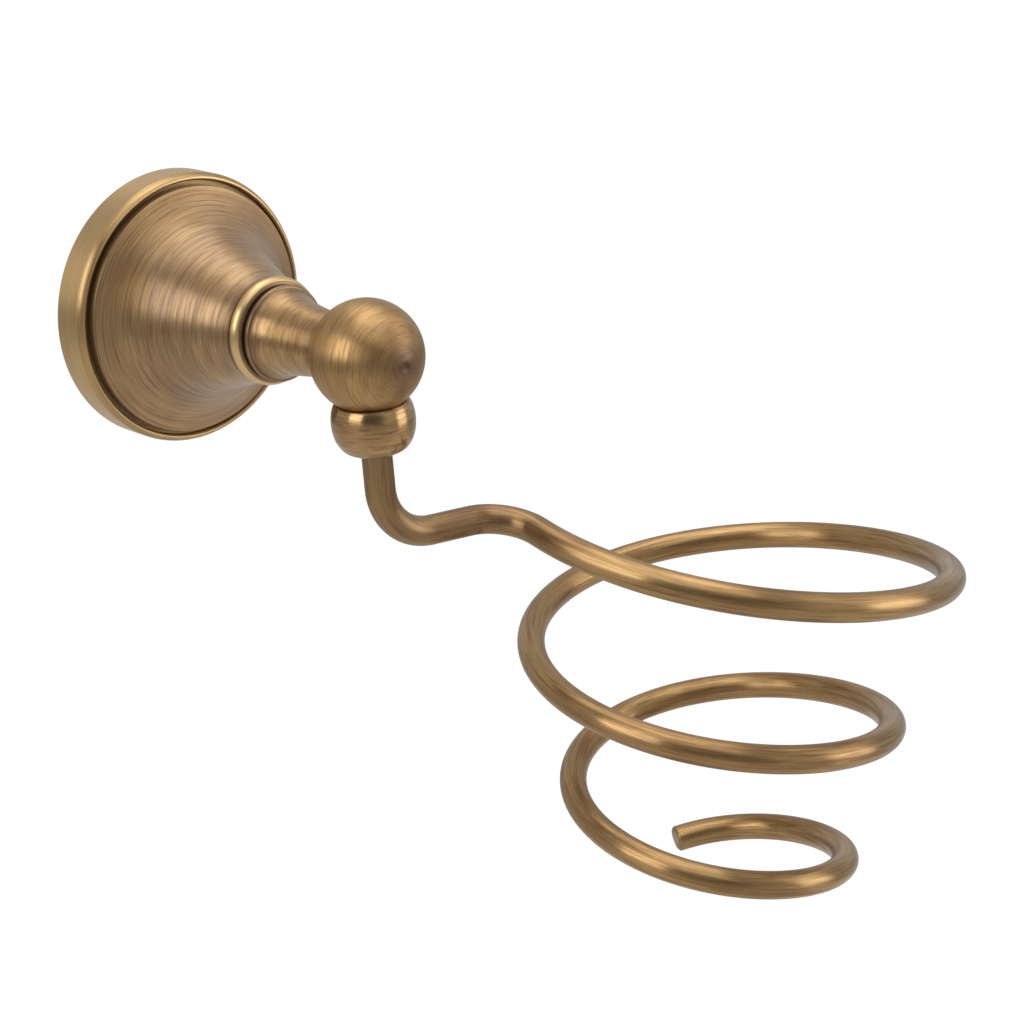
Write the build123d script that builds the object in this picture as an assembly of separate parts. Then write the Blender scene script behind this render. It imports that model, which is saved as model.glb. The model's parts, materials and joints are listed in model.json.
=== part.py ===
from build123d import *
import math
import os

# Wall-mounted hair dryer holder: a turned brass rosette carries a ball, and a rod
# bent into a tapering spiral swivels under the ball. All sizes are in millimetres.
# Origin: centre of the rosette's back, on the wall plane. The wall is the plane
# y = 0, the holder stands out along -Y, and +Z is up.
# "out" is a distance from the wall, and "r" is a radius from the turned axis.

# ---- driving dimensions -------------------------------------------------------
rosette_r = 27.7            # outer radius of the wall rosette
rim_bore_r = 24.2           # bore of the rim, which also holds the bell's spigot
rim_side_out = 6.3          # the rim's side is straight to here, then rounds in to its lip
rim_round_r = 27.4          # a point half-way round that curve
rim_round_out = 7.3
rim_lip_r = 26.8            # outer and inner edge of the lip's narrow flat top
rim_crest_r = 26.6
rim_front = 7.95            # how far the lip stands out from the wall
groove_lip_out = 7.6        # the lip's inner corner is bevelled down to here
groove_outer_r = 26.2       # dark groove between the rim and the bell
groove_floor = 6.5
bell_foot_r = 25.2
bell_foot_round = 0.25
bell_foot_out = 8.65        # where the foot's straight edge ends and its round begins
bell_cave_out = 6.6         # the hollow inside the bell starts here
bell_nose_out = 32.2
bell_nose_r = 10.3
bell_spigot_out = 3.8       # back end of the bell's spigot inside the rim
bell_spigot_bore_r = 21.6
bell_pocket_r = 8.6         # pocket for the tie screw's head and washers
bell_pocket_out = 26.5
bell_floor_out = 28.0       # inside floor of the bell, where the tie screw sits
bell_throat_r = 11.2        # the trumpet turns straighter here, just before the nose
bell_throat_out = 28.9

collar_r = 10.8
collar_front = 35.3
collar_crest_out = 33.7
collar_edge_r = 10.2

neck_spigot_r = 7.5
neck_recess_r = 8.7
neck_shoulder_r = 9.6
neck_shoulder_out = 36.8
neck_shoulder_round = 0.5
neck_land = 0.4             # straight edge of the shoulder, in front of the step
neck_waist_r = 7.3
neck_waist_out = 42.6
neck_end_r = 6.0

ball_out = 61.2             # wall to the centre of the ball
ball_r = 11.0
centre_mark_r = 0.9         # shallow centre mark left on the ball's front pole
centre_mark_depth = 0.3
swivel_tilt = 5.6           # the swivel's axis leans this far, in degrees, towards +X as it goes down

rod_r = 3.0                 # the spiral is bent from one 6 mm rod
rod_top = -4.2              # upper end of the rod, inside the ball
rod_end_chamfer = 0.5
rod_top_chamfer = 0.25
arm_z = -37.5               # height of the level run between the post and the spiral
elbow_r = 11.7
shoulder_bend_r = 10.4
spiral_x = 83.6             # spiral axis, swung round to the side of the post
spiral_y = -80.6
spiral_start_deg = 174.1    # where the arm runs into the first turn, seen from above
spiral_start_z = -39.3
spiral_start_r = 51.9
spiral_turns = 2.684
spiral_taper = 12.24        # radius lost per turn at the start
spiral_taper_ease = 0.99    # and how much of that is won back, per turn squared
spiral_pitch = 32.9         # drop per turn
spiral_lead_drop = 8.3      # extra drop while the rod leaves the arm
spiral_lead_turns = 0.29
spiral_points = 40

# ---- hidden hardware ----------------------------------------------------------
plate_r = 23.6
plate_t = 3.5
plate_window_r = 8.0
slot_spacing = 31.0
slot_length = 8.0
slot_w = 4.5
slot_head_w = 8.4           # sunk face for the screw heads
slot_head_out = 2.0
plate_groove_depth = 0.9    # V groove round the plate's edge
plate_groove_half_w = 1.0
cut_over = 1.0              # how far a cut runs past the face that it opens

grub_r = 1.5                # M3 grub screw with a cone point, under the rim
grub_out = 2.2
grub_tail_r = 27.2          # its socket end lies just under the rim's surface
grub_point_r = 23.0
grub_cone = 1.2
grub_tip_r = 0.3
grub_socket_af = 1.5
grub_socket_depth = 1.5

tie_r = 2.5                 # M5 x 35 socket head cap screw
tie_length = 35.0
tie_clear_r = 2.75
tie_head_r = 4.25
tie_head_t = 5.0
tie_socket_af = 4.0
tie_socket_depth = 2.5
tie_point_chamfer = 0.6
tie_hole_spare = 0.7
flat_washer_r = 5.0
flat_washer_t = 1.0
lock_washer_r = 4.6
lock_washer_t = 1.2
lock_washer_gap = 1.0

neck_pin_r = 1.0
neck_pin_offset = 5.2
neck_pin_out = (29.6, 35.6)
ball_pin_r = 0.75
ball_pin_offset = 4.2
ball_pin_length = 4.0

# Swivel, measured along its own axis from the centre of the ball.
spigot_r = 5.0              # M10 fine thread of the bead, screwed into the ball
spigot_top = -6.6
cavity_top = -3.8
bush_r = 4.0
bush_bore_r = 3.05          # 0.05 mm running clearance on the rod
bead_lip_r = 3.3
bead_lip_top = -17.6
bead_bottom = -18.6
bead_rim_r = 7.1
bead_rim_bevel = 0.4
bead_rim_drop = 0.15
bead_r = 8.1
bead_widest = -13.3
bead_lower_r = 7.0
bead_lower = -17.2
bead_foot_r = 5.0
washer_bore_r = 3.15
thrust_washer_r = 4.7
thrust_washer_t = 0.6
wave_washer_r = 4.5
wave_washer_t = 0.5
clip_gap = 0.05
clip_r = 4.3
clip_t = 0.6
clip_groove_r = 2.4
clip_mouth = 3.6
clip_side_gap = 0.02

# ---- frames -------------------------------------------------------------------
# A turned piece is drawn as (radius, distance) and spun about its own axis.
OUT = Plane(origin=(0, 0, 0), x_dir=(1, 0, 0), z_dir=(0, 0, -1))
OUT_AXIS = Axis((0, 0, 0), (0, -1, 0))
BALL_CENTRE = Vector(0, -ball_out, 0)
POST_SIDE = Vector(math.cos(math.radians(swivel_tilt)), 0, math.sin(math.radians(swivel_tilt)))
POST_UP = Vector(-POST_SIDE.Z, 0, POST_SIDE.X)
POST = Plane(origin=BALL_CENTRE, x_dir=POST_SIDE, z_dir=(0, -1, 0))
POST_AXIS = Axis(BALL_CENTRE, POST_UP)

spot_face_out = ball_out - math.sqrt(ball_r**2 - neck_end_r**2)


def spin_out(*edges):
    """A solid turned about the rosette's axis."""
    return revolve(OUT * make_face(Curve() + list(edges)), OUT_AXIS)


def spin_post(*edges):
    """A solid turned about the swivel's axis, which runs through the ball's centre."""
    return revolve(POST * make_face(Curve() + list(edges)), POST_AXIS)


def post_level(z):
    """Plane square to the swivel's axis, this far up it from the ball's centre."""
    return Plane(origin=BALL_CENTRE + POST_UP * z, x_dir=POST_SIDE, z_dir=POST_UP)


def ring_section(inner_r, outer_r, start, end):
    return Polyline((inner_r, start), (outer_r, start), (outer_r, end), (inner_r, end), close=True)


def ring_out(inner_r, outer_r, start, end):
    return spin_out(ring_section(inner_r, outer_r, start, end))


def ring_post(inner_r, outer_r, start, end):
    return spin_post(ring_section(inner_r, outer_r, start, end))


def facing_out(start, x=0.0, z=0.0):
    """Plane that faces away from the wall at this distance from it."""
    return Plane(origin=(x, -start, z), x_dir=(1, 0, 0), z_dir=(0, -1, 0))


def rod_out(radius, start, end, z=0.0):
    """A plain cylinder along the rosette's axis, from start to end."""
    return extrude(facing_out(start, z=z) * Circle(radius), end - start)


def hexagon(across_flats):
    return RegularPolygon(across_flats / math.sqrt(3), 6)


# ---- wall side ----------------------------------------------------------------
def slot_cut(centre_x, length, width, start, end):
    return extrude(facing_out(start, x=centre_x) * SlotOverall(length, width), end - start)


def wall_plate():
    """Steel disc screwed to the wall, with a V groove round its edge for the grub screw."""
    low = grub_out - plate_groove_half_w
    high = grub_out + plate_groove_half_w
    plate = spin_out(
        Polyline(
            (plate_window_r, 0),
            (plate_r, 0),
            (plate_r, low),
            (plate_r - plate_groove_depth, grub_out),
            (plate_r, high),
            (plate_r, plate_t),
            (plate_window_r, plate_t),
            close=True,
        )
    )
    head_length = slot_length + slot_head_w - slot_w
    for side in (-1, 1):
        centre_x = side * slot_spacing / 2
        plate -= slot_cut(centre_x, slot_length, slot_w, -cut_over, plate_t + cut_over)
        plate -= slot_cut(centre_x, head_length, slot_head_w, slot_head_out, plate_t + cut_over)
    return plate


def grub_axis_plane(r):
    """Plane under the rosette at radius r, facing down and away from its axis."""
    return Plane(origin=(0, -grub_out, -r), x_dir=(1, 0, 0), z_dir=(0, 0, -1))


def rosette_rim():
    side_end = (rosette_r, rim_side_out)
    ring = spin_out(
        Line((rim_bore_r, 0), (rosette_r, 0)),
        Line((rosette_r, 0), side_end),
        ThreePointArc(side_end, (rim_round_r, rim_round_out), (rim_lip_r, rim_front)),
        Line((rim_lip_r, rim_front), (rim_crest_r, rim_front)),
        Line((rim_crest_r, rim_front), (groove_outer_r, groove_lip_out)),
        Line((groove_outer_r, groove_lip_out), (groove_outer_r, groove_floor)),
        Line((groove_outer_r, groove_floor), (rim_bore_r, groove_floor)),
        Line((rim_bore_r, groove_floor), (rim_bore_r, 0)),
    )
    depth = rosette_r - rim_bore_r + 2 * cut_over
    tapped_hole = extrude(grub_axis_plane(rim_bore_r - cut_over) * Circle(grub_r), depth)
    return ring - tapped_hole


def grub_screw():
    shoulder = grub_point_r + grub_cone
    full = grub_axis_plane(shoulder) * Circle(grub_r)
    tip = grub_axis_plane(grub_point_r) * Circle(grub_tip_r)
    socket_foot = grub_axis_plane(grub_tail_r - grub_socket_depth)
    body = extrude(full, grub_tail_r - shoulder) + loft([full, tip])
    return body - extrude(socket_foot * hexagon(grub_socket_af), grub_socket_depth + cut_over)


def rosette_bell():
    """Trumpet-shaped cover: a concave cone from the groove up to the collar."""
    shoulder = bell_foot_r - bell_foot_round
    foot = (shoulder, bell_foot_out + bell_foot_round)
    throat = (bell_throat_r, bell_throat_out)
    nose = (bell_nose_r, bell_nose_out)
    pocket = (bell_pocket_r, bell_pocket_out)
    cave = (bell_spigot_bore_r, bell_cave_out)
    body = spin_out(
        Line((bell_foot_r, groove_floor), (bell_foot_r, bell_foot_out)),
        CenterArc((shoulder, bell_foot_out), bell_foot_round, 0, 90),
        Bezier(foot, (16.4, 12.4), (14.7, 20.9), throat),
        Spline(throat, nose, tangents=[(-0.4, 1), (-0.1, 1)]),
        Line(nose, (tie_clear_r, bell_nose_out)),
        Line((tie_clear_r, bell_nose_out), (tie_clear_r, bell_floor_out)),
        Line((tie_clear_r, bell_floor_out), (bell_pocket_r, bell_floor_out)),
        Line((bell_pocket_r, bell_floor_out), pocket),
        Bezier(pocket, (11.4, 19.0), (13.6, 11.4), cave),
        Line(cave, (bell_spigot_bore_r, bell_spigot_out)),
        Line((bell_spigot_bore_r, bell_spigot_out), (rim_bore_r, bell_spigot_out)),
        Line((rim_bore_r, bell_spigot_out), (rim_bore_r, groove_floor)),
        Line((rim_bore_r, groove_floor), (bell_foot_r, groove_floor)),
    )
    return body - neck_pins()


def collar_ring():
    """Bright bead between the bell and the neck."""
    back = (collar_edge_r, bell_nose_out)
    front = (collar_edge_r, collar_front)
    return spin_out(
        Line((neck_spigot_r, bell_nose_out), back),
        ThreePointArc(back, (collar_r, collar_crest_out), front),
        Line(front, (neck_spigot_r, collar_front)),
        Line((neck_spigot_r, collar_front), (neck_spigot_r, bell_nose_out)),
    )


# ---- neck and ball ------------------------------------------------------------
def neck():
    crest = neck_shoulder_r - neck_shoulder_round
    land = neck_shoulder_out - neck_land
    flare = Bezier(
        (crest, neck_shoulder_out + neck_shoulder_round),
        (8.2, 38.4),
        (7.65, 40.6),
        (neck_waist_r, neck_waist_out),
    )
    body = spin_out(
        Line((tie_clear_r, bell_nose_out), (neck_spigot_r, bell_nose_out)),
        Line((neck_spigot_r, bell_nose_out), (neck_spigot_r, collar_front)),
        Line((neck_spigot_r, collar_front), (neck_recess_r, collar_front)),
        Line((neck_recess_r, collar_front), (neck_shoulder_r, land)),
        Line((neck_shoulder_r, land), (neck_shoulder_r, neck_shoulder_out)),
        CenterArc((crest, neck_shoulder_out), neck_shoulder_round, 0, 90),
        flare,
        Line((neck_waist_r, neck_waist_out), (neck_end_r, spot_face_out)),
        Line((neck_end_r, spot_face_out), (tie_clear_r, spot_face_out)),
        Line((tie_clear_r, spot_face_out), (tie_clear_r, bell_nose_out)),
    )
    return body - neck_pins() - ball_pin()


def neck_pins():
    """Two dowels that stop the neck from turning on the bell."""
    start, end = neck_pin_out
    pins = [rod_out(neck_pin_r, start, end, z=side * neck_pin_offset) for side in (-1, 1)]
    return Part() + pins


def ball_pin():
    """One dowel that stops the ball from turning on the neck."""
    half = ball_pin_length / 2
    return rod_out(ball_pin_r, spot_face_out - half, spot_face_out + half, z=ball_pin_offset)


def swivel_cavity():
    """Round pocket up into the ball from below, tapped for the swivel bead."""
    mouth = post_level(-ball_r - cut_over)
    return extrude(mouth * Circle(spigot_r), ball_r + cut_over + cavity_top)


def ball():
    body = Pos(BALL_CENTRE) * Sphere(ball_r)
    body -= rod_out(ball_r, 0, spot_face_out)
    body -= rod_out(tie_r, 0, tie_tip_out + tie_hole_spare)
    body -= ball_pin()
    body -= swivel_cavity()
    mark_sphere_r = (centre_mark_r**2 + centre_mark_depth**2) / (2 * centre_mark_depth)
    mark_out = ball_out + ball_r + mark_sphere_r - centre_mark_depth
    return body - Pos(0, -mark_out, 0) * Sphere(mark_sphere_r)


# ---- tie screw ----------------------------------------------------------------
washer_face_out = bell_floor_out - flat_washer_t
tie_seat_out = washer_face_out - lock_washer_t
tie_tip_out = tie_seat_out + tie_length


def tie_flat_washer():
    return ring_out(tie_clear_r, flat_washer_r, washer_face_out, bell_floor_out)


def tie_lock_washer():
    """Split spring washer under the screw's head."""
    ring = ring_out(tie_clear_r, lock_washer_r, tie_seat_out, washer_face_out)
    split = Box(lock_washer_gap, 3 * lock_washer_t, 2 * lock_washer_r)
    return ring - Pos(0, -tie_seat_out, 2 * lock_washer_r - tie_clear_r / 2) * split


def tie_screw():
    """Cap screw from inside the bell, through the neck, into the ball."""
    head = rod_out(tie_head_r, tie_seat_out - tie_head_t, tie_seat_out)
    shank = spin_out(
        Polyline(
            (0, tie_seat_out),
            (tie_r, tie_seat_out),
            (tie_r, tie_tip_out - tie_point_chamfer),
            (tie_r - tie_point_chamfer, tie_tip_out),
            (0, tie_tip_out),
            close=True,
        )
    )
    socket_mouth = facing_out(tie_seat_out - tie_head_t - cut_over)
    socket = extrude(socket_mouth * hexagon(tie_socket_af), tie_socket_depth + cut_over)
    return head + shank - socket


# ---- swivel -------------------------------------------------------------------
def ball_surface_z(r):
    """Where the ball's underside lies along the swivel's axis, at radius r from it."""
    return -math.sqrt(ball_r**2 - r**2)


def swivel_bead():
    """Beaded gland that screws up into the ball and carries the rod."""
    seat_r = bead_rim_r - bead_rim_bevel
    seat_outer = (seat_r, ball_surface_z(seat_r))
    seat_inner = (spigot_r, ball_surface_z(spigot_r))
    seat_middle_r = (seat_r + spigot_r) / 2
    rim = (bead_rim_r, seat_outer[1] - bead_rim_drop)
    return spin_post(
        Line((bush_r, spigot_top), (spigot_r, spigot_top)),
        Line((spigot_r, spigot_top), seat_inner),
        ThreePointArc(seat_inner, (seat_middle_r, ball_surface_z(seat_middle_r)), seat_outer),
        Line(seat_outer, rim),
        ThreePointArc(rim, (bead_r, bead_widest), (bead_lower_r, bead_lower)),
        Bezier((bead_lower_r, bead_lower), (6.45, -18.2), (5.8, bead_bottom), (bead_foot_r, bead_bottom)),
        Line((bead_foot_r, bead_bottom), (bead_lip_r, bead_bottom)),
        Line((bead_lip_r, bead_bottom), (bead_lip_r, bead_lip_top)),
        Line((bead_lip_r, bead_lip_top), (bush_r, bead_lip_top)),
        Line((bush_r, bead_lip_top), (bush_r, spigot_top)),
    )


def swivel_bush():
    """Plastic liner that the rod turns in."""
    return ring_post(bush_bore_r, bush_r, bead_lip_top, spigot_top)


thrust_washer_top = spigot_top + thrust_washer_t
wave_washer_top = thrust_washer_top + wave_washer_t
clip_low = wave_washer_top + clip_gap
clip_high = clip_low + clip_t


def thrust_washer():
    return ring_post(washer_bore_r, thrust_washer_r, spigot_top, thrust_washer_top)


def wave_washer():
    """Spring washer that gives the swivel its friction, at its squeezed height."""
    return ring_post(washer_bore_r, wave_washer_r, thrust_washer_top, wave_washer_top)


def retaining_clip():
    """Open clip in the rod's groove, which keeps the rod from dropping out."""
    ring = ring_post(clip_groove_r, clip_r, clip_low, clip_high)
    mouth = Pos(0, -clip_r, 0) * Box(clip_mouth, 2 * clip_r, 3 * clip_t)
    return ring - post_level((clip_low + clip_high) / 2).location * mouth


# ---- spiral rod ---------------------------------------------------------------
def spiral_point(turns):
    """Centre of the rod after this many turns down the tapering spiral."""
    angle = math.radians(spiral_start_deg + 360 * turns)
    r = spiral_start_r - spiral_taper * turns + spiral_taper_ease * turns**2
    lead = spiral_lead_drop * (1 - math.exp(-turns / spiral_lead_turns))
    z = spiral_start_z - spiral_pitch * turns - lead
    return Vector(spiral_x + r * math.cos(angle), spiral_y + r * math.sin(angle), z)


def spiral_direction(turns):
    step = 1e-4
    return (spiral_point(turns + step) - spiral_point(turns - step)).normalized()


def rod_path():
    """Down from the ball, level out to the side, and round into the spiral."""
    top = BALL_CENTRE + POST_UP * (rod_top - rod_top_chamfer)
    elbow = BALL_CENTRE + POST_UP * (arm_z / POST_UP.Z)
    start = spiral_point(0)
    heading = spiral_direction(0)
    shoulder = start - heading * ((start.Z - arm_z) / heading.Z)
    arm = FilletPolyline(top, elbow, shoulder, start, radius=[elbow_r, shoulder_bend_r])
    points = [spiral_point(spiral_turns * i / spiral_points) for i in range(spiral_points + 1)]
    ends = [heading, spiral_direction(spiral_turns)]
    return Wire(arm.edges() + [Spline(points, tangents=ends, tangent_scalars=[1, 1])])


def bevelled_end(centre, outward, size):
    """Short cone that takes the edge off the cut end of the rod."""
    cut = Plane(origin=centre, z_dir=outward)
    return loft([cut * Circle(rod_r), cut.offset(size) * Circle(rod_r - size)])


def spiral_rod():
    path = rod_path()
    rod = sweep(Plane(origin=path @ 0, z_dir=path % 0) * Circle(rod_r), path=path)
    rod += bevelled_end(path @ 0, -(path % 0), rod_top_chamfer)
    rod += bevelled_end(path @ 1, path % 1, rod_end_chamfer)
    groove = ring_post(clip_groove_r, rod_r + cut_over, clip_low - clip_side_gap, clip_high + clip_side_gap)
    return rod - groove


# ---- one file for each piece --------------------------------------------------
PIECES = (
    wall_plate,
    rosette_rim,
    rosette_bell,
    grub_screw,
    collar_ring,
    neck,
    neck_pins,
    ball_pin,
    ball,
    tie_screw,
    tie_flat_washer,
    tie_lock_washer,
    swivel_bead,
    swivel_bush,
    thrust_washer,
    wave_washer,
    retaining_clip,
    spiral_rod,
)

os.makedirs("parts", exist_ok=True)
for piece in PIECES:
    export_step(piece(), f"parts/{piece.__name__}.step")
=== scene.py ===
import json
import math

import bpy
from mathutils import Matrix, Vector


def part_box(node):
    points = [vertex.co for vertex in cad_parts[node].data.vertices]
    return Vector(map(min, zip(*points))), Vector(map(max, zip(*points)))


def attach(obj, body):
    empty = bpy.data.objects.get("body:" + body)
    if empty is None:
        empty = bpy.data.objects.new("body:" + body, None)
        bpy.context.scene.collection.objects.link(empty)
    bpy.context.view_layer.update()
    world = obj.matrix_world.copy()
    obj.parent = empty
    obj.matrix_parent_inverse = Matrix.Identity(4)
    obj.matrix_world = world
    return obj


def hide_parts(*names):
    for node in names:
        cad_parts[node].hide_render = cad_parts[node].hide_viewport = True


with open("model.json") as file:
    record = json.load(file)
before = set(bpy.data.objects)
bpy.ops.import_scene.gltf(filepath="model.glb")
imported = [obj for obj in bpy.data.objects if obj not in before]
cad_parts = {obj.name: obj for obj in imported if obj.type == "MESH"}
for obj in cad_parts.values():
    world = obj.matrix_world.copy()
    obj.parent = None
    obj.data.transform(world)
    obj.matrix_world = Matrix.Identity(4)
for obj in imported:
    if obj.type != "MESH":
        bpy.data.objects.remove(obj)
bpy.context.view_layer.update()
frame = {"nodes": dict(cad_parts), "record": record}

# All lengths here are millimetres until they are scaled into the frame's metres.
MM = 0.001

# ---- places, from the frame ---------------------------------------------------
ball_low, ball_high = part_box("ball")
rim_low, rim_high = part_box("rosette_rim")
BALL_R = (ball_high[0] - ball_low[0]) / 2 / MM
BALL_OUT = -ball_low[1] / MM - BALL_R
RIM_R = (rim_high[0] - rim_low[0]) / 2 / MM
BALL_CENTRE = Vector((0, -BALL_OUT, 0))
POST_UP = Vector(frame["record"]["behaviour"]["joints"][0]["axis"]).normalized()
POST_LEAN = math.atan2(-POST_UP.x, POST_UP.z)
ROD_TOP = -4.2
NECK_END_R = 6.0
SPOT_FACE_OUT = BALL_OUT - math.sqrt(BALL_R**2 - NECK_END_R**2)
GROOVE_FLOOR = 6.5
RIM_BORE_R = 24.2
NOSE_OUT = 32.2
TIE_CLEAR_R = 2.75

# ---- camera -------------------------------------------------------------------
CAMERA_AT = Vector((-268.84, -372.34, 107.05)) * MM
CAMERA_AZIMUTH = math.radians(-44.62)
CAMERA_ELEVATION = math.radians(18.58)
CAMERA_LENS = 79.25


def add_camera():
    back = Vector(
        (
            math.sin(CAMERA_AZIMUTH) * math.cos(CAMERA_ELEVATION),
            -math.cos(CAMERA_AZIMUTH) * math.cos(CAMERA_ELEVATION),
            math.sin(CAMERA_ELEVATION),
        )
    )
    camera = bpy.data.objects.new("camera", bpy.data.cameras.new("camera"))
    bpy.context.collection.objects.link(camera)
    camera.data.sensor_width = 36.0
    camera.data.lens = CAMERA_LENS
    camera.location = CAMERA_AT
    camera.rotation_mode = "QUATERNION"
    camera.rotation_quaternion = (-back).to_track_quat("-Z", "Y")
    camera.data.clip_start = 0.01
    camera.data.clip_end = 20.0
    bpy.context.scene.camera = camera


# ---- node helpers -------------------------------------------------------------
class Graph:
    """Short names for building a material's nodes."""

    def __init__(self, tree):
        self.nodes = tree.nodes
        self.links = tree.links

    def put(self, socket, value):
        if isinstance(value, bpy.types.NodeSocket):
            self.links.new(value, socket)
        else:
            socket.default_value = value

    def math(self, operation, a, b=0.0, clamp=False):
        node = self.nodes.new("ShaderNodeMath")
        node.operation = operation
        node.use_clamp = clamp
        self.put(node.inputs[0], a)
        self.put(node.inputs[1], b)
        return node.outputs[0]

    def ramp(self, value, low, high, to_low=0.0, to_high=1.0):
        node = self.nodes.new("ShaderNodeMapRange")
        node.interpolation_type = "SMOOTHSTEP"
        for index, v in enumerate((value, low, high, to_low, to_high)):
            self.put(node.inputs[index], v)
        return node.outputs[0]

    def mix(self, factor, a, b):
        node = self.nodes.new("ShaderNodeMix")
        node.data_type = "RGBA"
        self.put(node.inputs["Factor"], factor)
        self.put(node.inputs[6], a)
        self.put(node.inputs[7], b)
        return node.outputs[2]

    def vector(self, x, y, z):
        node = self.nodes.new("ShaderNodeCombineXYZ")
        for index, v in enumerate((x, y, z)):
            self.put(node.inputs[index], v)
        return node.outputs[0]

    def noise(self, vector, scale, detail=3.0, roughness=0.6):
        node = self.nodes.new("ShaderNodeTexNoise")
        self.put(node.inputs["Vector"], vector)
        node.inputs["Scale"].default_value = scale
        node.inputs["Detail"].default_value = detail
        node.inputs["Roughness"].default_value = roughness
        return node.outputs["Fac"]

    def attribute(self, name):
        node = self.nodes.new("ShaderNodeAttribute")
        node.attribute_name = name
        return node.outputs["Fac"]

    def object_axes(self):
        where = self.nodes.new("ShaderNodeTexCoord").outputs["Object"]
        split = self.nodes.new("ShaderNodeSeparateXYZ")
        self.put(split.inputs[0], where)
        return where, split.outputs

    def uv_axes(self):
        split = self.nodes.new("ShaderNodeSeparateXYZ")
        self.put(split.inputs[0], self.nodes.new("ShaderNodeUVMap").outputs[0])
        return split.outputs

    def bump(self, height, strength, distance):
        node = self.nodes.new("ShaderNodeBump")
        node.inputs["Strength"].default_value = strength
        node.inputs["Distance"].default_value = distance
        self.put(node.inputs["Height"], height)
        return node.outputs[0]


def new_material(name):
    material = bpy.data.materials.new(name)
    material.use_nodes = True
    shader = material.node_tree.nodes["Principled BSDF"]
    return material, Graph(material.node_tree), shader


# ---- colours ------------------------------------------------------------------
BRIGHT_BRASS = (0.72, 0.495, 0.235, 1)
RUBBED_BRASS = (0.51, 0.325, 0.134, 1)
BROWN_BRASS = (0.26, 0.138, 0.062, 1)
# darkest brown: used for the patina streaks and also for the painted shade in hollows and joints
DARK_PATINA_AND_PAINTED_SHADE = (0.080, 0.036, 0.020, 1)


def antique_brass(
    name,
    along,
    across,
    brown=0.3,
    roughness=0.34,
    streak=1.0,
    groove_axis=None,
    stretch=0.75,
    coat=0.4,
    grain=1.0,
):
    """Brushed brass under a brown patina.

    along and across are functions of the graph that give streak coordinates in millimetres,
    as tuples: the marks are long in the first and fine in the second. Vertex attributes carry
    patina and painted shade in the hollows and joints, and rubbed edges and painted highlights.
    """
    material, g, shader = new_material(name)
    long_way = along(g)
    cross = across(g)

    def streaks(per_mm, drawn_out, detail=3.0):
        parts = [g.math("MULTIPLY", axis, per_mm) for axis in cross]
        parts += [g.math("MULTIPLY", axis, drawn_out) for axis in long_way]
        return g.noise(g.vector(*parts), 1.0, detail)

    hair = streaks(5.0 * grain, 0.09)
    fine = streaks(2.1 * grain, 0.045)
    broad = streaks(0.5 * grain, 0.03, 2.0)
    cloud = g.noise(g.object_axes()[0], 55.0, 3.0)

    mottled = g.math("ADD", g.math("MULTIPLY", broad, 0.5), g.math("MULTIPLY", cloud, 0.5))
    patina = g.ramp(mottled, 0.36, 0.64)
    patina = g.math("ADD", g.math("MULTIPLY", patina, 0.4 * streak), brown, clamp=True)
    fine_dark = g.ramp(fine, 0.49, 0.64, 0.0, 0.75 * streak)
    hair_dark = g.ramp(hair, 0.52, 0.74, 0.0, 0.55 * streak)
    colour = g.mix(patina, RUBBED_BRASS, BROWN_BRASS)
    colour = g.mix(fine_dark, colour, BROWN_BRASS)
    colour = g.mix(hair_dark, colour, DARK_PATINA_AND_PAINTED_SHADE)
    hair_bright = g.ramp(hair, 0.44, 0.28, 0.0, 0.45 * streak)
    colour = g.mix(hair_bright, colour, BRIGHT_BRASS)
    # painted highlight: brightens the lip's inner edge, the collar's crest and the rim's outer side
    # towards bright brass, partly real rubbed wear
    colour = g.mix(g.attribute("wear_and_painted_highlight"), colour, BRIGHT_BRASS)
    # painted shade: darkens grooves, hollows, joints between parts and hidden faces towards dark brown,
    # partly real patina
    patina_and_painted_shade = g.attribute("patina_and_painted_shade")
    colour = g.mix(patina_and_painted_shade, colour, DARK_PATINA_AND_PAINTED_SHADE)
    g.put(shader.inputs["Base Color"], colour)
    g.put(shader.inputs["Metallic"], g.ramp(patina_and_painted_shade, 0.1, 0.9, 1.0, 0.6))
    rough = g.ramp(fine, 0.3, 0.7, roughness - 0.05, roughness + 0.07)
    g.put(shader.inputs["Roughness"], rough)
    shader.inputs["Anisotropic"].default_value = stretch
    shader.inputs["Coat Weight"].default_value = coat
    shader.inputs["Coat Roughness"].default_value = 0.28
    tangent = g.nodes.new("ShaderNodeTangent")
    if groove_axis:
        tangent.direction_type = "RADIAL"
        tangent.axis = groove_axis
    else:
        tangent.direction_type = "UV_MAP"
    shader.inputs["Anisotropic Rotation"].default_value = 0.25
    g.put(shader.inputs["Tangent"], tangent.outputs[0])
    height = g.math("ADD", g.math("MULTIPLY", hair, 0.6), g.math("MULTIPLY", fine, 0.4))
    g.put(shader.inputs["Normal"], g.bump(height, 0.3 * grain, 0.00012))
    return material


def turned_along(g):
    """Round a turned piece: the angle, wrapped so that it has no seam."""
    angle = g.math("MULTIPLY", g.uv_axes()[1], 2 * math.pi)
    reach = 26.0
    cosine = g.math("MULTIPLY", g.math("COSINE", angle), reach)
    sine = g.math("MULTIPLY", g.math("SINE", angle), reach)
    return cosine, sine


def turned_across(g):
    return (g.uv_axes()[0],)


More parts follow.
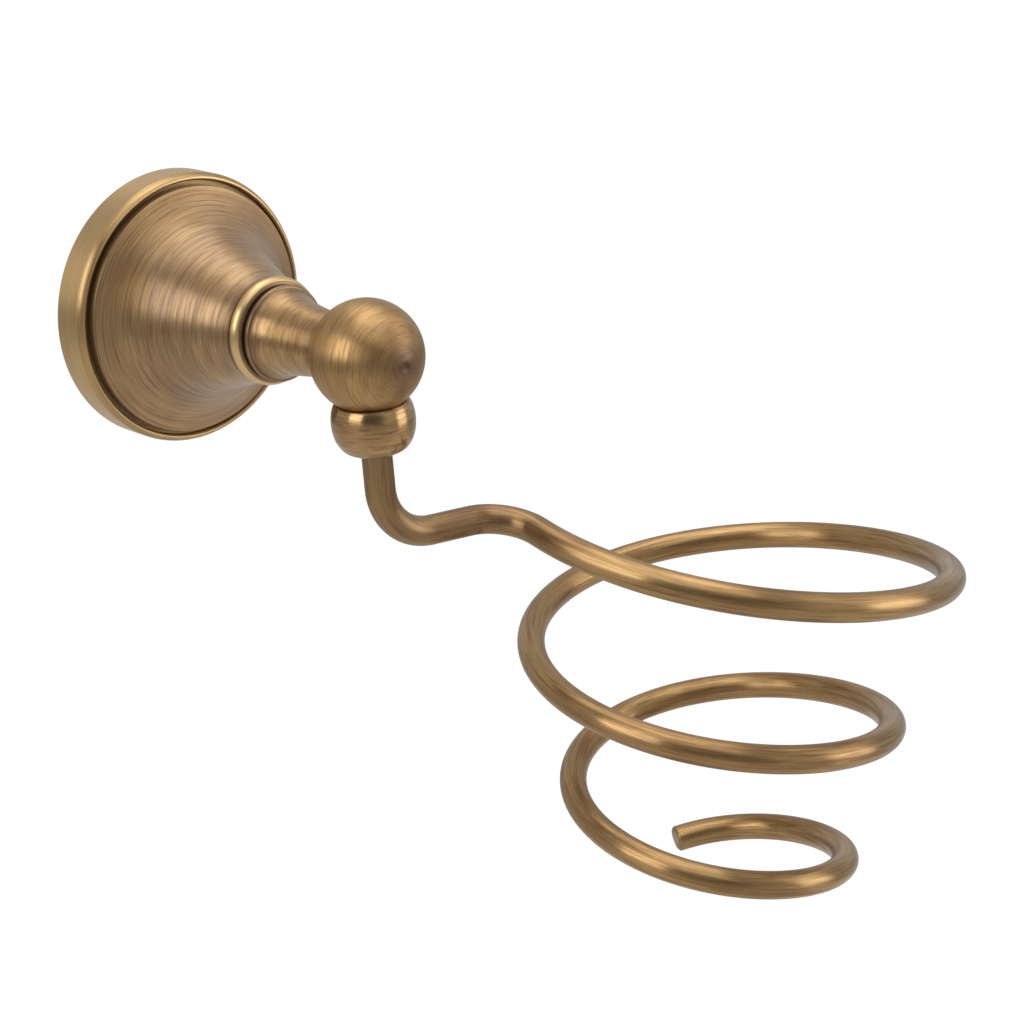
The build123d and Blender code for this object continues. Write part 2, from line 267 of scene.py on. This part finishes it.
def plain_metal(name, base, dark, roughness, grain_scale):
    """Hidden steel hardware: plated or blackened, with fine tooling grain and a little soiling."""
    material, g, shader = new_material(name)
    where, axes = g.object_axes()
    grain = g.noise(g.vector(g.math("MULTIPLY", axes[0], 9.0), axes[1], axes[2]), grain_scale, 2.0)
    soil = g.noise(where, 90.0, 4.0)
    colour = g.mix(g.ramp(soil, 0.45, 0.75, 0.0, 0.7), base, dark)
    g.put(shader.inputs["Base Color"], colour)
    shader.inputs["Metallic"].default_value = 1.0
    g.put(shader.inputs["Roughness"], g.ramp(grain, 0.3, 0.7, roughness, roughness + 0.14))
    g.put(shader.inputs["Normal"], g.bump(grain, 0.12, 0.0001))
    return material


def acetal(name):
    material, g, shader = new_material(name)
    where = g.object_axes()[0]
    speck = g.noise(where, 700.0, 3.0)
    g.put(shader.inputs["Base Color"], g.mix(speck, (0.80, 0.79, 0.75, 1), (0.70, 0.69, 0.65, 1)))
    g.put(shader.inputs["Roughness"], g.ramp(speck, 0.3, 0.7, 0.42, 0.55))
    g.put(shader.inputs["Normal"], g.bump(speck, 0.1, 0.0001))
    return material


# ---- meshes -------------------------------------------------------------------
def lay_profile(points, spacing):
    """Evenly fills a polyline of (radius, along, shade, wear) so that curves stay smooth."""
    filled = [points[0]]
    for a, b in zip(points, points[1:]):
        gap = math.hypot(b[0] - a[0], b[1] - a[1])
        count = max(1, round(gap / spacing))
        for k in range(1, count + 1):
            t = k / count
            filled.append(tuple(p + (q - p) * t for p, q in zip(a, b)))
    return filled


def bezier(p0, p1, p2, p3, count=40):
    out = []
    for k in range(count + 1):
        t = k / count
        u = 1 - t
        weights = (u**3, 3 * u * u * t, 3 * u * t * t, t**3)
        out.append(tuple(sum(w * p[i] for w, p in zip(weights, (p0, p1, p2, p3))) for i in (0, 1)))
    return out


def arc(cx, cy, r, start, end, count=14):
    """Points on a circle from one angle to the other, in degrees, on (radius, along) axes."""
    out = []
    for k in range(count + 1):
        a = math.radians(start + (end - start) * k / count)
        out.append((cx + r * math.cos(a), cy + r * math.sin(a)))
    return out


def turned(name, profile, place, material, body, nodes, segments=288, spacing=0.22, centre=None):
    """A turned piece: the profile spun round its axis, with UVs of arc length and angle."""
    rows = lay_profile(profile, spacing)
    lengths = [0.0]
    for a, b in zip(rows, rows[1:]):
        lengths.append(lengths[-1] + math.hypot(b[0] - a[0], b[1] - a[1]))
    verts = []
    for r, along, *_ in rows:
        for k in range(segments):
            angle = 2 * math.pi * k / segments
            verts.append(place(r * math.cos(angle), r * math.sin(angle), along))
    faces = []
    uvs = []
    for i in range(len(rows) - 1):
        for k in range(segments):
            k2 = (k + 1) % segments
            near, far = i * segments, (i + 1) * segments
            faces.append((near + k, near + k2, far + k2, far + k))
            v0, v1 = k / segments, (k + 1) / segments
            u0, u1 = lengths[i], lengths[i + 1]
            uvs += [(u0, v0), (u0, v1), (u1, v1), (u1, v0)]
    mesh = make_mesh(name, verts, faces, uvs)
    for index, key in ((2, "patina_and_painted_shade"), (3, "wear_and_painted_highlight")):
        layer = mesh.attributes.new(key, "FLOAT", "POINT")
        values = [row[index] for row in rows for _ in range(segments)]
        layer.data.foreach_set("value", values)
    return add_piece(name, mesh, material, body, nodes, centre)


def make_mesh(name, verts, faces, uvs):
    mesh = bpy.data.meshes.new(name)
    mesh.from_pydata([tuple(c * MM for c in v) for v in verts], [], faces)
    layer = mesh.uv_layers.new(name="UVMap")
    layer.data.foreach_set("uv", [c for uv in uvs for c in uv])
    mesh.polygons.foreach_set("use_smooth", [True] * len(mesh.polygons))
    mesh.update()
    return mesh


def add_piece(name, mesh, material, body, nodes, centre=None):
    piece = bpy.data.objects.new(name, mesh)
    bpy.context.collection.objects.link(piece)
    mesh.materials.append(material)
    if centre is not None:
        piece.matrix_world = Matrix.Translation(centre * MM) @ Matrix.Rotation(-POST_LEAN, 4, "Y")
    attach(piece, body)
    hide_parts(*nodes)
    return piece


def place_out(a, b, along):
    """Turned about the rosette's axis; along is the distance from the wall."""
    return (a, -along, b)


def place_post(a, b, along):
    """Turned about the swivel's own axis; along is measured from the ball's centre."""
    return (a, b, along)


def marked(points, patina_and_painted_shade=0.0, wear_and_painted_highlight=0.0):
    """Adds patina and painted shade in hollows, and the rubbed edge and painted highlight, to profile
    points.
    """
    return [(r, along, patina_and_painted_shade, wear_and_painted_highlight) for r, along in points]


# ---- the turned pieces --------------------------------------------------------
def rim_profile():
    side_out, front, lip_r = 6.3, 7.95, 26.8
    crest_r, groove_r, groove_lip = 26.6, 26.2, 7.6
    rounding = bezier(
        (RIM_R, side_out), (RIM_R, side_out + 0.6), (lip_r + 0.5, front - 0.25), (lip_r, front), 14
    )
    # painted shade on the back face, the lip's rounding and in the groove; painted highlight, partly
    # rubbed wear, on the outer side and the lip's inner edge
    return (
        marked([(RIM_BORE_R, 0.0), (RIM_R - 0.2, 0.0)], 0.3)
        + marked([(RIM_R, 0.2), (RIM_R, 3.0)], 0.0, 0.3)
        + marked(rounding[:4], 0.0, 0.25)
        + marked(rounding[4:-2], 0.1)
        + marked(rounding[-2:], 0.0, 0.3)
        + marked(arc(crest_r, front - 0.15, 0.15, 90, 140), 0.0, 0.6)
        + marked([(groove_r + 0.1, groove_lip + 0.05)], 0.25)
        + marked([(groove_r, groove_lip)], 0.3)
        + marked([(groove_r, GROOVE_FLOOR), (RIM_BORE_R, GROOVE_FLOOR), (RIM_BORE_R, 0.0)], 0.45)
    )


def bell_profile():
    foot_r, foot_round, foot_out = 25.2, 0.25, 8.65
    throat = (11.2, 28.9)
    nose = (10.3, NOSE_OUT)
    pocket_r, pocket_out, floor_out = 8.6, 26.5, 28.0
    cave_r, cave_out, spigot_out = 21.6, 6.6, 3.8
    rows = 80
    curve = bezier((foot_r - foot_round, foot_out + foot_round), (16.4, 12.4), (14.7, 20.9), throat, rows)
    bend = bezier(throat, (10.75, 30.0), (10.45, 31.2), nose, 16)
    middle = [
        (r, along, 0.17 * math.sin(math.pi * k / rows) ** 2, 0.0) for k, (r, along) in enumerate(curve)
    ]
    # painted shade in the groove at the foot and where the nose meets the collar; the middle band is
    # patina
    outside = (
        marked([(foot_r, GROOVE_FLOOR), (foot_r, foot_out)], 0.45)
        + marked(arc(foot_r - foot_round, foot_out, foot_round, 10, 70, 6), 0.2)
        + middle
        + marked(bend[1:-3], 0.2)
        + marked(bend[-3:], 0.75)
    )
    # painted shade on the hidden inside faces
    inside = (
        marked([(TIE_CLEAR_R, NOSE_OUT), (TIE_CLEAR_R, floor_out)], 0.6)
        + marked([(pocket_r, floor_out), (pocket_r, pocket_out)], 0.6)
        + marked(bezier((pocket_r, pocket_out), (11.4, 19.0), (13.6, 11.4), (cave_r, cave_out), 40), 0.45)
        + marked([(cave_r, spigot_out), (RIM_BORE_R, spigot_out)], 0.6)
        + marked([(RIM_BORE_R, GROOVE_FLOOR), (foot_r, GROOVE_FLOOR)], 0.6)
    )
    return outside + inside


def collar_profile():
    spigot_r, side_r, front_out = 7.5, 9.3, 35.3
    ridge = arc(9.25, 33.75, 1.55, -78, 78, 26)
    # painted shade on the faces against the bell and the neck and on the ridge's flanks; painted
    # highlight, partly rubbed wear, along the ridge's crest
    return (
        marked([(spigot_r, NOSE_OUT), (side_r, NOSE_OUT)], 1.0)
        + marked(ridge[:3], 0.5)
        + marked(ridge[3:-4], 0.0, 0.8)
        + marked(ridge[-4:], 0.5)
        + marked([(side_r, front_out), (spigot_r, front_out), (spigot_r, NOSE_OUT)], 1.0)
    )


def neck_profile():
    spigot_r, recess_r, collar_front = 7.5, 8.7, 35.3
    shoulder_r, shoulder_out = 9.6, 36.8
    flare = bezier((9.1, 37.3), (8.2, 38.4), (7.65, 40.6), (7.3, 42.6), 24)
    # painted shade where the neck meets the collar and the ball and on the hidden bore, fading up the
    # flare
    return (
        marked([(TIE_CLEAR_R, NOSE_OUT), (spigot_r, NOSE_OUT)], 1.0)
        + marked([(spigot_r, collar_front), (recess_r, collar_front)], 1.0)
        + marked([(shoulder_r, shoulder_out - 0.4), (shoulder_r, shoulder_out)], 0.95)
        + marked(arc(shoulder_r - 0.5, shoulder_out, 0.5, 10, 90), 0.45)
        + marked(flare[1:4], 0.5)
        + marked(flare[4:9], 0.3)
        + marked(flare[9:], 0.0)
        + marked([(NECK_END_R + 0.22, SPOT_FACE_OUT - 1.6)], 0.1)
        + marked([(NECK_END_R, SPOT_FACE_OUT)], 0.9)
        + marked([(TIE_CLEAR_R, SPOT_FACE_OUT), (TIE_CLEAR_R, NOSE_OUT)], 0.6)
    )


def ball_profile():
    """From the neck round to the front pole, with the lathe centre's small pit."""
    start = math.degrees(math.asin(NECK_END_R / BALL_R))
    pit = 0.9
    front = math.degrees(math.asin(pit / BALL_R))
    # painted shade where the ball meets the neck; darker towards the front pole and in the pit
    rows = marked([(0.001, SPOT_FACE_OUT), (NECK_END_R - 0.1, SPOT_FACE_OUT)], 0.9)
    count = 90
    neck_rows = 4
    pole_rows = 26
    for k in range(count + 1):
        a = math.radians(start + (180 - front - start) * k / count)
        out = BALL_OUT - BALL_R * math.cos(a)
        near_neck = max(0.0, 1 - k / neck_rows)
        near_pole = max(0.0, (k - count + pole_rows) / pole_rows) ** 1.1
        rows.append((BALL_R * math.sin(a), out, max(0.8 * near_neck, 0.85 * near_pole), 0.0))
    tip = BALL_OUT + BALL_R * math.cos(math.radians(front))
    rows += marked([(0.6, tip - 0.14), (0.3, tip - 0.2), (0.001, tip - 0.22)], 0.95)
    return rows


def bead_profile():
    def ball_under(r):
        return -math.sqrt(BALL_R**2 - r * r)

    spigot_r, spigot_top, bush_r = 5.0, -6.6, 4.0
    lower = (7.0, -17.2)
    bottom, lip_r, lip_top = -18.6, 3.3, -17.6
    seat = [(spigot_r + 0.28 * k, ball_under(spigot_r + 0.28 * k)) for k in range(7)]
    rim = (7.1, seat[-1][1] - 0.15)
    side = bezier(rim, (8.45, -10.6), (8.5, -15.2), lower, 44)
    foot = bezier(lower, (6.45, -18.2), (5.8, bottom), (spigot_r, bottom), 16)
    # painted shade on the seat against the ball, the rim beside it and the hidden spigot, bore and lip
    return (
        marked([(bush_r, spigot_top), (spigot_r, spigot_top)], 0.8)
        + marked(seat, 0.6)
        + marked([rim], 0.35)
        + marked(side[1:4], 0.25)
        + marked(side[4:], 0.0)
        + marked(foot[1:], 0.12)
        + marked([(lip_r, bottom), (lip_r, lip_top)], 1.0)
        + marked([(bush_r, lip_top), (bush_r, spigot_top)], 0.7)
    )


# ---- the rod ------------------------------------------------------------------
ROD_R = 3.0
ARM_Z = -37.5
ELBOW_R = 11.7
SHOULDER_R = 10.4
SPIRAL_X, SPIRAL_Y = 83.6, -80.6
SPIRAL_TURNS = 2.684
SPIRAL_LENGTH = 640.0       # only sets how closely the spiral's points are spaced
SHANK_SHADE = 0.45
SPIRAL_SHADE = 0.08
SHADE_HELD = 48.0
SHADE_FADES_OVER = 50.0


def spiral_point(turns):
    angle = math.radians(174.1 + 360 * turns)
    r = 51.9 - 12.24 * turns + 0.99 * turns**2
    z = -39.3 - 32.9 * turns - 8.3 * (1 - math.exp(-turns / 0.29))
    return Vector((SPIRAL_X + r * math.cos(angle), SPIRAL_Y + r * math.sin(angle), z))


def filleted(points, radii, step):
    """The corners of a polyline rounded off, as closely spaced points."""
    path = [points[0]]
    for k, radius in enumerate(radii):
        a, corner, b = points[k], points[k + 1], points[k + 2]
        d1 = (corner - a).normalized()
        d2 = (b - corner).normalized()
        turn = d1.angle(d2)
        start = corner - d1 * radius * math.tan(turn / 2)
        axis = d1.cross(d2).normalized()
        centre = start + axis.cross(d1) * radius
        path += straight(path[-1], start, step)
        count = max(2, round(radius * turn / step))
        for i in range(1, count + 1):
            path.append(centre + Matrix.Rotation(turn * i / count, 3, axis) @ (start - centre))
    path += straight(path[-1], points[-1], step)
    return path


def straight(a, b, step):
    count = max(1, round((b - a).length / step))
    return [a.lerp(b, i / count) for i in range(1, count + 1)]


def rod_path(step):
    start = spiral_point(0)
    heading = (spiral_point(1e-4) - spiral_point(-1e-4)).normalized()
    shoulder = start - heading * ((start.z - ARM_Z) / heading.z)
    top = BALL_CENTRE + POST_UP * ROD_TOP
    elbow = BALL_CENTRE + POST_UP * (ARM_Z / POST_UP.z)
    corners = [top, elbow, shoulder, start]
    path = filleted(corners, [ELBOW_R, SHOULDER_R], step)
    count = round(SPIRAL_LENGTH / step)
    path += [spiral_point(SPIRAL_TURNS * i / count) for i in range(1, count + 1)]
    return path


def rod_shade(length):
    """The shank and the arm are browner than the spiral, where a dryer rubs the rod bright."""
    if length < SHADE_HELD:
        return SHANK_SHADE
    return max(SPIRAL_SHADE, SHANK_SHADE * (1 - (length - SHADE_HELD) / SHADE_FADES_OVER))


def rod_mesh(name, step=0.45, sides=48):
    """The bent rod as one tube, with UVs of length along it and angle round it."""
    path = rod_path(step)
    frames = []
    tangent = (path[1] - path[0]).normalized()
    normal = Vector((0, 1, 0))
    for i, point in enumerate(path):
        before = path[max(i - 1, 0)]
        after = path[min(i + 1, len(path) - 1)]
        new_tangent = (after - before).normalized()
        normal = tangent.rotation_difference(new_tangent) @ normal
        tangent = new_tangent
        normal = (normal - tangent * normal.dot(tangent)).normalized()
        frames.append((point, tangent, normal.copy(), tangent.cross(normal)))
    bevel = 0.5
    first, last = frames[0], frames[-1]
    # painted shade on the end hidden in the ball; the cut end at the spiral's tip is darker brown
    rings = [(first[0], first, 0.02, 0.9), (first[0], first, ROD_R - 0.25, 0.5)]
    rings += [(f[0], f, ROD_R, rod_shade(i * step)) for i, f in enumerate(frames[1:])]
    tip = last[0] + last[1] * bevel
    rings += [
        (last[0] + last[1] * 0.06, last, ROD_R - 0.02, 0.2),
        (last[0] + last[1] * 0.3, last, ROD_R - 0.22, 0.3),
        (tip, last, ROD_R - bevel, 0.35),
        (tip + last[1] * 0.01, last, ROD_R - bevel - 0.05, 0.45),
        (tip + last[1] * 0.01, last, 1.2, 0.5),
        (tip + last[1] * 0.01, last, 0.02, 0.5),
    ]
    verts = []
    lengths = []
    run = 0.0
    previous = rings[0][0]
    for centre, (_, t, n, b), radius, _ in rings:
        run += (centre - previous).length
        previous = centre
        lengths.append(run)
        for k in range(sides):
            a = 2 * math.pi * k / sides
            verts.append(tuple(centre + (n * math.cos(a) + b * math.sin(a)) * radius))
    faces = []
    uvs = []
    for i in range(len(rings) - 1):
        for k in range(sides):
            k2 = (k + 1) % sides
            faces.append((i * sides + k, (i + 1) * sides + k, (i + 1) * sides + k2, i * sides + k2))
            v0, v1 = k / sides, (k + 1) / sides
            uvs += [(lengths[i], v0), (lengths[i + 1], v0), (lengths[i + 1], v1), (lengths[i], v1)]
    mesh = make_mesh(name, verts, faces, uvs)
    patina_and_painted_shade = mesh.attributes.new("patina_and_painted_shade", "FLOAT", "POINT")
    patina_and_painted_shade.data.foreach_set("value", [ring[3] for ring in rings for _ in range(sides)])
    return mesh


def rod_along(g):
    return (g.uv_axes()[0],)


def rod_across(g):
    """Round the rod: the angle, wrapped so that it has no seam."""
    angle = g.math("MULTIPLY", g.uv_axes()[1], 2 * math.pi)
    cosine = g.math("MULTIPLY", g.math("COSINE", angle), ROD_R)
    sine = g.math("MULTIPLY", g.math("SINE", angle), ROD_R)
    return cosine, sine


# ---- build --------------------------------------------------------------------
def build_pieces():
    lathe = {"along": turned_along, "across": turned_across}
    rosette = antique_brass("antique_brass_rosette", **lathe, brown=0.0, streak=0.7, groove_axis="Y")
    bell = antique_brass(
        "antique_brass_bell", **lathe, brown=0.30, roughness=0.44, groove_axis="Y", coat=0.8
    )
    neck = antique_brass("antique_brass_neck", **lathe, brown=0.2, groove_axis="Y")
    ball = antique_brass(
        "antique_brass_ball", **lathe, brown=0.22, streak=0.7, roughness=0.38, groove_axis="Y", coat=0.15
    )
    bead = antique_brass(
        "antique_brass_bead", **lathe, brown=0.12, roughness=0.22, groove_axis="Z", coat=0.4
    )
    collar = antique_brass("bright_brass_collar", **lathe, brown=0.0, streak=0.5, groove_axis="Y")
    rod = antique_brass(
        "antique_brass_rod",
        rod_along,
        rod_across,
        brown=0.2,
        roughness=0.30,
        stretch=0.88,
        coat=0.2,
        grain=0.55,
    )

    on_wall = "wall_side"
    turned("rim", rim_profile(), place_out, rosette, on_wall, ["rosette_rim"])
    turned("bell", bell_profile(), place_out, bell, on_wall, ["rosette_bell"])
    turned("collar", collar_profile(), place_out, collar, on_wall, ["collar_ring"], spacing=0.12)
    turned("neck_sleeve", neck_profile(), place_out, neck, on_wall, ["neck"])
    turned("ball_turned", ball_profile(), place_out, ball, on_wall, ["ball"])
    turned("bead", bead_profile(), place_post, bead, on_wall, ["swivel_bead"], centre=BALL_CENTRE)
    add_piece("rod", rod_mesh("rod"), rod, "swivel_arm", ["spiral_rod"])

    hidden = {
        "zinc_plated_steel": plain_metal(
            "zinc_plated_steel", (0.55, 0.56, 0.57, 1), (0.36, 0.36, 0.36, 1), 0.34, 160.0
        ),
        "spring_steel": plain_metal(
            "spring_steel", (0.30, 0.31, 0.33, 1), (0.16, 0.15, 0.14, 1), 0.30, 220.0
        ),
        "black_steel": plain_metal(
            "black_steel", (0.055, 0.055, 0.06, 1), (0.03, 0.028, 0.026, 1), 0.42, 220.0
        ),
        "acetal_bush": acetal("acetal_bush"),
    }
    for part in frame["record"]["subparts"]:
        if part["material_slot"] in hidden:
            node = frame["nodes"][part["node"]]
            node.data.materials.clear()
            node.data.materials.append(hidden[part["material_slot"]])


# ---- studio -------------------------------------------------------------------
DARK_SIDE = (-0.666, -0.675, 0.319)
ROOM_BRIGHT = 0.60
ROOM_DARK = 0.12
WHITE_GLOW = 1.03           # seen by the camera only, so the background is evenly white
SOFTBOX_AIM = (0.05, -0.07, -0.05)
SOFTBOXES = (
    ("top_softbox", (0.22, 0.10, 1.02), 0.8, 3.6),
    ("left_softbox", (-1.02, -0.02, 0.42), 0.7, 4.6),
    ("front_softbox", (-0.24, -0.37, 0.97), 0.9, 2.4),
    ("right_softbox", (0.78, -0.88, 0.09), 0.6, 2.4),
    ("high_right_softbox", (0.78, -0.44, 0.69), 0.7, 1.2),
)


def softbox(name, at, size, power):
    light = bpy.data.lights.new(name, "AREA")
    light.shape = "SQUARE"
    light.size = size
    light.energy = power
    lamp = bpy.data.objects.new(name, light)
    bpy.context.collection.objects.link(lamp)
    lamp.location = at
    lamp.rotation_mode = "QUATERNION"
    lamp.rotation_quaternion = (Vector(SOFTBOX_AIM) - Vector(at)).to_track_quat("-Z", "Y")
    return lamp


def add_floor():
    """Pale floor that looks evenly white, but throws only a little light up at the piece."""
    material = bpy.data.materials.new("pale_floor")
    material.use_nodes = True
    nodes = material.node_tree.nodes
    nodes.clear()
    g = Graph(material.node_tree)
    fleck = g.noise(g.object_axes()[0], 14.0, 3.0)
    matt = nodes.new("ShaderNodeBsdfDiffuse")
    g.put(matt.inputs["Color"], g.mix(fleck, (0.74, 0.735, 0.72, 1), (0.70, 0.695, 0.68, 1)))
    glow = nodes.new("ShaderNodeEmission")
    glow.inputs["Strength"].default_value = WHITE_GLOW
    glow.inputs["Color"].default_value = (1, 1, 1, 1)
    choose = nodes.new("ShaderNodeMixShader")
    g.put(choose.inputs[0], nodes.new("ShaderNodeLightPath").outputs["Is Camera Ray"])
    g.put(choose.inputs[1], matt.outputs[0])
    g.put(choose.inputs[2], glow.outputs[0])
    g.put(nodes.new("ShaderNodeOutputMaterial").inputs["Surface"], choose.outputs[0])
    size = 12.0
    height = -0.45
    mesh = bpy.data.meshes.new("floor")
    corners = [(-size, -size, height), (size, -size, height), (size, size, height), (-size, size, height)]
    mesh.from_pydata(corners, [], [(0, 1, 2, 3)])
    mesh.materials.append(material)
    floor = bpy.data.objects.new("floor", mesh)
    bpy.context.collection.objects.link(floor)


def add_world():
    """A pale room, a little darker on the side where the viewer stands."""
    world = bpy.data.worlds.new("studio")
    bpy.context.scene.world = world
    world.use_nodes = True
    g = Graph(world.node_tree)
    background = world.node_tree.nodes["Background"]
    direction = g.nodes.new("ShaderNodeTexCoord").outputs["Generated"]
    toward = g.nodes.new("ShaderNodeVectorMath")
    toward.operation = "DOT_PRODUCT"
    g.put(toward.inputs[0], direction)
    toward.inputs[1].default_value = DARK_SIDE
    level = g.ramp(toward.outputs["Value"], 0.72, 0.96, ROOM_BRIGHT, ROOM_DARK)
    seen = g.nodes.new("ShaderNodeLightPath").outputs["Is Camera Ray"]
    g.put(background.inputs["Strength"], g.math("MAXIMUM", level, g.math("MULTIPLY", seen, WHITE_GLOW)))
    background.inputs["Color"].default_value = (1, 1, 1, 1)


def add_studio():
    add_world()
    add_floor()
    for name, at, size, power in SOFTBOXES:
        softbox(name, at, size, power)
    scene = bpy.context.scene
    scene.view_settings.view_transform = "Standard"
    scene.view_settings.look = "None"
    scene.view_settings.exposure = 0.0


add_camera()
build_pieces()
add_studio()
